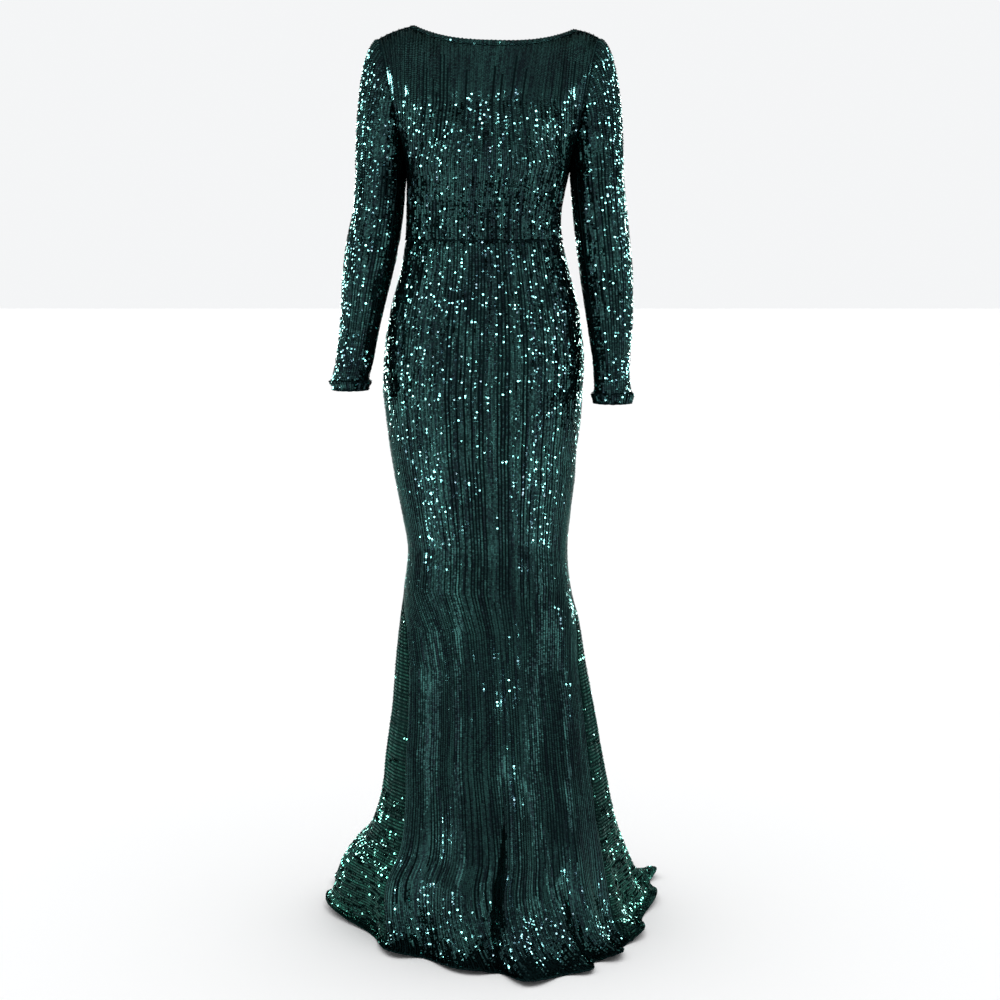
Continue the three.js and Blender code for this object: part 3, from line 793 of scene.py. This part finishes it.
# Sleeves
# One long piece of the sequin cloth each, sewn along the inner arm and set into the armhole. The cuff
# is turned in, stitched and a little bunched.
SLEEVE_RIBS = 52
SLEEVE_LIE = table(LIE_COLUMNS, [
    [0, 0.6],
    [-60, 1],
    [-600, 1],
])
ARM_CORE = 178
ARM_COLUMNS = "z inner outer middle depth"
ARMS = {
    -1: table(ARM_COLUMNS, [
        [-237, -131, -209, 3, 46],
        [-284, -135, -213, 2, 44],
        [-331, -141, -223, 1, 43],
        [-378, -151, -229, -3, 41],
        [-426, -163, -232, -10, 38],
        [-474, -174, -235, -18, 34],
        [-521, -183, -241, -27, 31],
        [-546, -189, -246, -32, 29],
        [-553, -186, -250, -33, 33],
        [-561, -190, -245, -35, 29],
        [-567, -190, -246, -36, 31],
    ]),
    1: table(ARM_COLUMNS, [
        [-237, 131, 214, 3, 46],
        [-284, 135, 219, 2, 44],
        [-331, 140, 224, 1, 43],
        [-378, 146, 228, -3, 41],
        [-426, 153, 229, -10, 38],
        [-474, 160, 228, -18, 34],
        [-521, 167, 224, -27, 31],
        [-564, 169, 225, -34, 29],
        [-573, 165, 230, -35, 33],
        [-582, 168, 228, -36, 29],
        [-588, 168, 227, -37, 31],
    ]),
}
CAP_STEPS = [0, 0.13, 0.3, 0.5, 0.74, 1]
CAP_SIDEWAYS, CAP_OUTWARDS = 0.5, 0.45
CAP_DEPTH = 0.4
CAP_DOWN, CAP_UP = 0.5, 0.42
CUFF_BAND = 19
CUFF_GATHER = 4  # how far above the band the cloth is still drawn in
CUFF_WAVES = [(0.7, 97, 0), (0.4, 61, 2)]  # height, turns round the cuff in radians, and start
SLEEVE_ROUND = 250  # way round the arm, in the middle of the sleeve
SLEEVE_SEAM = 0.002  # part of the way round, between the two edges under the arm
ARMHOLE_ZONE = (0, 6)
ARMHOLE_ROWS = TOP_ROW - ARMPIT_ROW

# Creases round each arm: the turn, in degrees from the inner seam over the front, and the height
SLEEVE_CREASES = {
    -1: table(CREASE_COLUMNS, [
        [40, -372, 150, -345, 9, 1.8],
        [30, -395, 140, -372, 7, -1.6],
        [60, -420, 170, -398, 8, 1.3],
        [70, -330, 150, -318, 7, -1.0],
        [200, -360, 320, -380, 9, 1.6],
        [210, -385, 320, -402, 7, -1.4],
        [20, -232, 110, -190, 11, -2.2],
        [30, -258, 120, -222, 11, 1.6],
        [250, -196, 340, -236, 11, -2.0],
        [40, -500, 140, -484, 7, 1.1],
        [150, -528, 240, -520, 6, -1.0],
        [60, -536, 150, -528, 6, 1.2],
    ]),
    1: table(CREASE_COLUMNS, [
        [40, -366, 150, -340, 9, 1.8],
        [30, -388, 140, -366, 7, -1.6],
        [60, -414, 170, -390, 8, 1.3],
        [70, -326, 150, -310, 7, -1.0],
        [200, -356, 320, -376, 9, 1.6],
        [210, -380, 320, -398, 7, -1.4],
        [20, -230, 110, -192, 11, -2.2],
        [30, -256, 120, -220, 11, 1.6],
        [250, -198, 340, -238, 11, -2.0],
        [40, -515, 140, -498, 7, 1.1],
        [150, -545, 240, -536, 6, -1.0],
        [60, -556, 150, -548, 6, 1.2],
    ]),
}


def armhole_point(side, u):
    """The armhole from the armpit up its front edge and down its back edge."""
    walked = u * 2 * ARMHOLE_ROWS
    front = bodice_point(ARMPIT_ROW + np.minimum(walked, ARMHOLE_ROWS), 1, side)
    back = bodice_point(TOP_ROW - np.maximum(walked - ARMHOLE_ROWS, 0), -1, side)
    return np.where((walked <= ARMHOLE_ROWS)[..., None], front, back)


def arm_point(arm, side, place, turn):
    """A point of an arm below its cap. The turn goes from the inner seam over the front."""
    inner, outer = between_rows(arm, "inner", place), between_rows(arm, "outer", place)
    half = np.abs(outer - inner) / 2
    x = (inner + outer) / 2 - side * half * np.cos(turn)
    y = between_rows(arm, "middle", place) - between_rows(arm, "depth", place) * np.sin(turn)
    return point(x, y, between_rows(arm, "z", place))


def sleeve_at(side):
    """The surface of a sleeve, from the armhole down over the cap and along the arm."""
    arm = ARMS[side]
    last_step = len(CAP_STEPS) - 1

    def at(u, place):
        u, place = alike(u, place)
        u = mix(SLEEVE_SEAM, 1 - SLEEVE_SEAM, u)
        turn = u * 2 * math.pi
        share = np.interp(place, range(last_step + 1), CAP_STEPS)[..., None]
        start = armhole_point(side, u)
        end = arm_point(arm, side, np.zeros(u.shape), turn)
        outside = (1 - np.cos(turn)) / 2
        control = point(
            mix(start[..., 0], end[..., 0], CAP_SIDEWAYS + CAP_OUTWARDS * outside),
            mix(start[..., 1], end[..., 1], CAP_DEPTH),
            mix(start[..., 2], end[..., 2], CAP_DOWN - CAP_UP * outside),
        )
        cap = bend(start, control, end, share)
        lower = arm_point(arm, side, np.maximum(place - last_step, 0), turn)
        return np.where((place <= last_step)[..., None], cap, lower)
    return at


def sleeve_relief(side):
    """The sleeve's creases, its armhole seam and its stitched cuff."""
    def relief(u, walked, length, points):
        to_end = length - walked
        from_side = np.minimum(u, 1 - u) * SLEEVE_ROUND
        cuff = turned_band(to_end, CUFF_BAND, rise=0.7, ease=3, stitch=1.3, width=2)
        waves = sum(height * np.sin(u * turns + start) for height, turns, start in CUFF_WAVES)
        bunch = waves * within(to_end, CUFF_BAND + CUFF_GATHER, ease=8)
        seams = seam(walked, depth=1.4, width=3) + seam(from_side, depth=1.2, width=3)
        return creases(SLEEVE_CREASES[side], u * 360, points[..., 2]) + cuff + bunch + seams
    return relief


for label, side, seed in (("left", -1, 31), ("right", 1, 32)):
    last_row = len(CAP_STEPS) - 1 + len(ARMS[side]["z"]) - 1
    sleeve, sleeve_sequins = panel(
        f"sleeve_{label}", sleeve_at(side), sleeve_relief(side), (0, last_row), SLEEVE_RIBS, seed,
        core=(side * ARM_CORE, 0), zones=(ARMHOLE_ZONE, EDGE_ZONE), lie=SLEEVE_LIE,
    )


# Front skirt
# One piece cut on the fold, from the waist seam to the ground, close to the knee and then standing in
# soft folds. Its hem is turned in, stitched above the edge, and ruffles where it meets the floor.
FLOOR = -1457
SKIRT_RIBS = 76
SKIRT = table("z left right front back leftLevel rightLevel lift", [
    [-330.5, -129, 116, -88, 82, 2, 2, 0],
    [-378, -137, 127, -93, 93, 2, 2, 0],
    [-426, -150, 140, -99, 107, 4, 4, 0],
    [-474, -160, 148, -104, 121, 6, 6, 0],
    [-521, -165, 152, -107, 131, 8, 8, 0],
    [-569, -167, 150, -108, 137, 10, 10, 0],
    [-618, -162, 147, -107, 134, 10, 10, 0],
    [-666, -156, 141, -104, 126, 10, 10, 0],
    [-715, -148, 138, -100, 116, 9, 9, 0],
    [-763, -139, 132, -96, 107, 8, 8, 0],
    [-825, -129, 127, -92, 101, 8, 8, 0],
    [-886, -135, 132, -94, 104, 8, 8, 0],
    [-947, -143, 147, -99, 114, 10, 10, 0],
    [-1009, -150, 157, -109, 128, 12, 9, 0],
    [-1084, -156, 171, -125, 146, 15, 10, 0],
    [-1159, -166, 184, -140, 170, 21, 14, 0],
    [-1215, -172, 195, -152, 190, 27, 21, 0],
    [-1265, -183, 205, -161, 211, 34, 32, 0],
    [-1305, -201, 215, -167, 232, 46, 54, 0],
    [-1345, -233, 227, -173, 256, 76, 86, 0],
    [-1385, -251, 239, -178, 286, 106, 126, 0],
    [-1418, -259, 249, -188, 318, 124, 162, 0.1],
    [-1441, -265, 262, -202, 352, 135, 194, 0.4],
    [-1453, -270, 278, -224, 388, 140, 212, 0.8],
    [-1455.2, -276, 292, -250, 424, 142, 225, 1],
])
KNEE_ROW = 11
HEM_ROW = len(SKIRT["z"]) - 1
GODET_SEAMS = table("z leftFront rightFront leftBack rightBack", [
    [-880, 90, 90, 90, 90],
    [-886, 89.2, 89.2, 90.8, 90.8],
    [-947, 66, 74, 108, 106],
    [-1009, 56, 66, 118, 115],
    [-1159, 52, 61, 124, 121],
    [-1305, 47, 57, 129, 126],
    [-1455.2, 43, 52, 134, 132],
])
FOLDS = table("angle crest lift hollowAngle hollow top", [
    [-168, 16, 13, -154, -12, -1190],
    [-139, 18, 18, -125, -14, -1170],
    [-111, 14, 12, -100, -8, -1200],
    [-88, 3, 14, -60, -54, -1240],
    [-39, -24, 9, -30, -54, -1240],
    [-7, -10, 7, 2, -20, -1110],
    [9, 48, 8, 21, 20, -1120],
    [27, 38, 6, 34, 2, -1300],
    [39, 28, 12, 49, -4, -1240],
    [56, 8, 12, 70, -18, -1240],
    [82, 0, 13, 92, -10, -1230],
    [104, 14, 13, 116, -13, -1210],
    [128, 18, 18, 140, -12, -1180],
    [152, 16, 12, 172, -12, -1190],
])
FOLD_GROWTH = 1.5  # above 1 a fold widens late, near the hem
BOW = 0.88  # below 1 the front and back are fuller than an ellipse
HEM_BAND = 21
HEM_GATHER = 6  # how far above the band the cloth is still drawn in
HEM_PUCKER = 0.5
HEM_PUCKERS = 0.6  # turns of the wave in a millimetre, in radians
LEVELS = 240  # steps down and across the skirt for measuring its width
SHARES = 480

# Soft creases of the front skirt: the pull lines below the waist and above the knees, and the small
# folds between the large ones
FRONT_SKIRT_CREASES = table(CREASE_COLUMNS, [
    [-112, -352, -60, -344, 7, 1.0],
    [98, -352, 44, -342, 7, 1.0],
    [-120, -822, -40, -806, 11, -1.1],
    [-116, -846, -30, -832, 10, 1.0],
    [112, -824, 46, -806, 11, -1.1],
    [110, -850, 30, -834, 10, 1.0],
    [-76, -860, -84, -1380, 18, -3.8],
    [-40, -840, -42, -1400, 18, 3.9],
    [2, -900, -2, -1380, 20, -3.8],
    [52, -940, 32, -1400, 18, 3.9],
    [92, -960, 84, -1400, 19, -3.2],
    [120, -900, 136, -1380, 17, 3.4],
    [-114, -900, -142, -1400, 17, 4.0],
    [-10, -660, -16, -900, 16, 1.6],
    [60, -680, 66, -930, 15, -1.8],
])


def fold_at(angle, height):
    """How far the folds push the cloth out, and how high they lift its edge."""
    stops = np.stack([FOLDS["angle"], FOLDS["hollowAngle"]], axis=1).ravel()
    outs = np.stack([FOLDS["crest"], FOLDS["hollow"]], axis=1).ravel()
    lifts = np.stack([FOLDS["lift"], 0 * FOLDS["lift"]], axis=1).ravel()
    tops = np.stack([FOLDS["top"], (FOLDS["top"] + np.roll(FOLDS["top"], -1)) / 2], axis=1).ravel()
    turn = (np.degrees(angle) - stops[0]) % 360 + stops[0]
    after = np.searchsorted(stops, turn, side="right")
    before = after - 1
    following = np.where(after == len(stops), stops[0] + 360, stops[after % len(stops)])
    after = after % len(stops)
    share = (turn - stops[before]) / (following - stops[before])
    ease = (1 - np.cos(share * math.pi)) / 2
    top = mix(tops[before], tops[after], ease)
    growth = np.clip((top - height) / (top - FLOOR), 0, 1) ** FOLD_GROWTH
    return growth * mix(outs[before], outs[after], ease), mix(lifts[before], lifts[after], ease)


def oval_point(place, angle):
    """A point of the skirt without its folds. The angle is 0 at the front and 90 degrees at a side."""
    z, left, right, front, back, left_level, right_level = (
        between_rows(SKIRT, name, place)
        for name in ("z", "left", "right", "front", "back", "leftLevel", "rightLevel")
    )
    side, ahead = np.sin(angle), np.cos(angle)
    level = np.where(side < 0, left_level, right_level)
    reach = np.where(ahead > 0, front, back) - level
    x = (left + right) / 2 + (right - left) / 2 * side
    return point(x, level + reach * np.abs(ahead) ** BOW, z)


def skirt_point(place, angle):
    """A point of the skirt with its folds."""
    place, angle = alike(place, angle)
    found = oval_point(place, angle)
    along = unit(oval_point(place, angle + STEP) - oval_point(place, angle - STEP))
    pushed, lifted = fold_at(angle, found[..., 2])
    found[..., 0] += along[..., 1] * pushed
    found[..., 1] -= along[..., 0] * pushed
    found[..., 2] += between_rows(SKIRT, "lift", place) * lifted
    return found


def godet_seam(name, place):
    """The angle of a godet seam at a place down the skirt."""
    height = between_rows(SKIRT, "z", place)
    return np.interp(-height, -GODET_SEAMS["z"], GODET_SEAMS[name])


def skirt_at(start, end, first=0):
    """The surface of a skirt panel between two seams, given as functions of the place. Equal shares
    across are equal widths of cloth, so the rows keep their spacing over the folds."""
    levels = np.linspace(first, HEM_ROW, LEVELS)
    shares = np.linspace(0, 1, SHARES)
    turns = np.radians(mix(start(levels)[:, None], end(levels)[:, None], shares))
    widths = np.linalg.norm(np.diff(skirt_point(levels[:, None], turns), axis=1), axis=2)
    walked = np.concatenate([np.zeros((LEVELS, 1)), np.cumsum(widths, axis=1)], axis=1)
    even = np.array([np.interp(shares * row[-1], row, shares) for row in walked])

    def at(u, place):
        u, place = alike(u, place)
        level = np.clip((place - first) / (HEM_ROW - first), 0, 1) * (LEVELS - 1)
        column = np.clip(u, 0, 1) * (SHARES - 1)
        above, left = np.minimum(level.astype(int), LEVELS - 2), np.minimum(column.astype(int), SHARES - 2)
        upper = mix(even[above, left], even[above, left + 1], column - left)
        lower = mix(even[above + 1, left], even[above + 1, left + 1], column - left)
        share = mix(upper, lower, level - above)
        return skirt_point(place, np.radians(mix(start(place), end(place), share)))
    return at


def skirt_relief(rows, waist=True, wide=300, side_axis=0):
    """A skirt panel's creases, its seams and its stitched hem."""
    def relief(u, walked, length, points):
        to_end = length - walked
        hem = turned_band(to_end, HEM_BAND, rise=0.7, ease=4, stitch=1.1, width=1.8)
        gathers = within(to_end, HEM_BAND + HEM_GATHER, ease=10)
        pucker = HEM_PUCKER * np.sin(u * wide * HEM_PUCKERS) * gathers
        top = seam(walked, depth=1.6, width=3.5) if waist else 0
        sides = seam(np.minimum(u, 1 - u) * wide, depth=1.4, width=3)
        return creases(rows, points[..., side_axis], points[..., 2]) + hem + pucker + top + sides
    return relief


front_skirt, front_skirt_sequins = panel(
    "front_skirt",
    skirt_at(lambda place: -godet_seam("leftFront", place), lambda place: godet_seam("rightFront", place)),
    skirt_relief(FRONT_SKIRT_CREASES), (0, HEM_ROW), SKIRT_RIBS, seed=41,
)


# Back skirt
# Two halves sewn down the centre back, rounded over the seat and drawn out into a short train, where
# the sequins lie looser than in front.
BACK_SKIRT_RIBS = 42
BACK_SKIRT_LIE = table(LIE_COLUMNS, [
    [-330, 1.6],
    [-345, 1],
    [-560, 1],
    [-860, 0.6],
    [-1340, 0.55],
    [-1395, 0.8],
    [-1457, 1.4],
])
BACK_SKIRT_CREASES = table(CREASE_COLUMNS, [
    [-104, -352, -40, -342, 7, 1.0],
    [92, -350, 34, -342, 7, 1.0],
    [-110, -700, -30, -676, 12, -1.4],
    [106, -702, 28, -680, 12, -1.4],
    [-104, -738, -24, -716, 12, 1.2],
    [100, -740, 22, -718, 12, 1.2],
    [-60, -1000, -70, -1300, 13, 2.8],
    [58, -1010, 66, -1310, 13, 2.8],
    [-100, -1060, -126, -1340, 12, -2.6],
    [104, -1050, 132, -1330, 12, -2.6],
    [-26, -1080, -34, -1380, 11, -2.2],
    [24, -1090, 30, -1390, 11, -2.2],
])

for side, start, end, seed in (
    ("left", lambda place: -180 + 0 * place, lambda place: -godet_seam("leftBack", place), 51),
    ("right", lambda place: godet_seam("rightBack", place), lambda place: 180 + 0 * place, 52),
):
    back_skirt, back_skirt_sequins = panel(
        f"back_skirt_{side}", skirt_at(start, end), skirt_relief(BACK_SKIRT_CREASES, wide=200),
        (0, HEM_ROW), BACK_SKIRT_RIBS, seed, lie=BACK_SKIRT_LIE,
    )


# Side godets
# A wedge of the same cloth cut across its rows and sewn into each side seam from the knee down. Its
# rows run nearly level, and its hem makes the deepest ruffles.
GODET_RIBS = 9
GODET_COLUMNS = 12  # of points to a rib
GODET_LIE = table(LIE_COLUMNS, [
    [-880, 0.3],
    [-1150, 0.5],
    [-1240, 1.1],
    [-1457, 1.5],
])
godet_mesh = mesh_cloth_material(
    "Black-green stretch mesh, satin side", "#040A0A", "#0B1F1D", KNIT_ROWS, KNIT_COLUMNS,
)
godet_film = film_material("Emerald sequin film", "#0B2422", "#246253")

# Creases of both godets, by their depth behind the gown's middle and their height
GODET_CREASES = table(CREASE_COLUMNS, [
    [20, -960, 30, -1240, 11, -2.4],
    [60, -1040, 96, -1330, 11, 2.4],
    [-20, -1040, -10, -1310, 10, 2.2],
])

for side, start, end, seed in (
    ("left", lambda place: -godet_seam("leftBack", place),
     lambda place: -godet_seam("leftFront", place), 61),
    ("right", lambda place: godet_seam("rightFront", place),
     lambda place: godet_seam("rightBack", place), 62),
):
    godet, godet_sequins = panel(
        f"godet_{side}", skirt_at(start, end, KNEE_ROW),
        skirt_relief(GODET_CREASES, waist=False, wide=220, side_axis=1),
        (KNEE_ROW, HEM_ROW), GODET_RIBS, seed, columns=GODET_COLUMNS, zones=(EDGE_ZONE,),
        film=godet_film, cloth=godet_mesh, lie=GODET_LIE, level=True,
    )
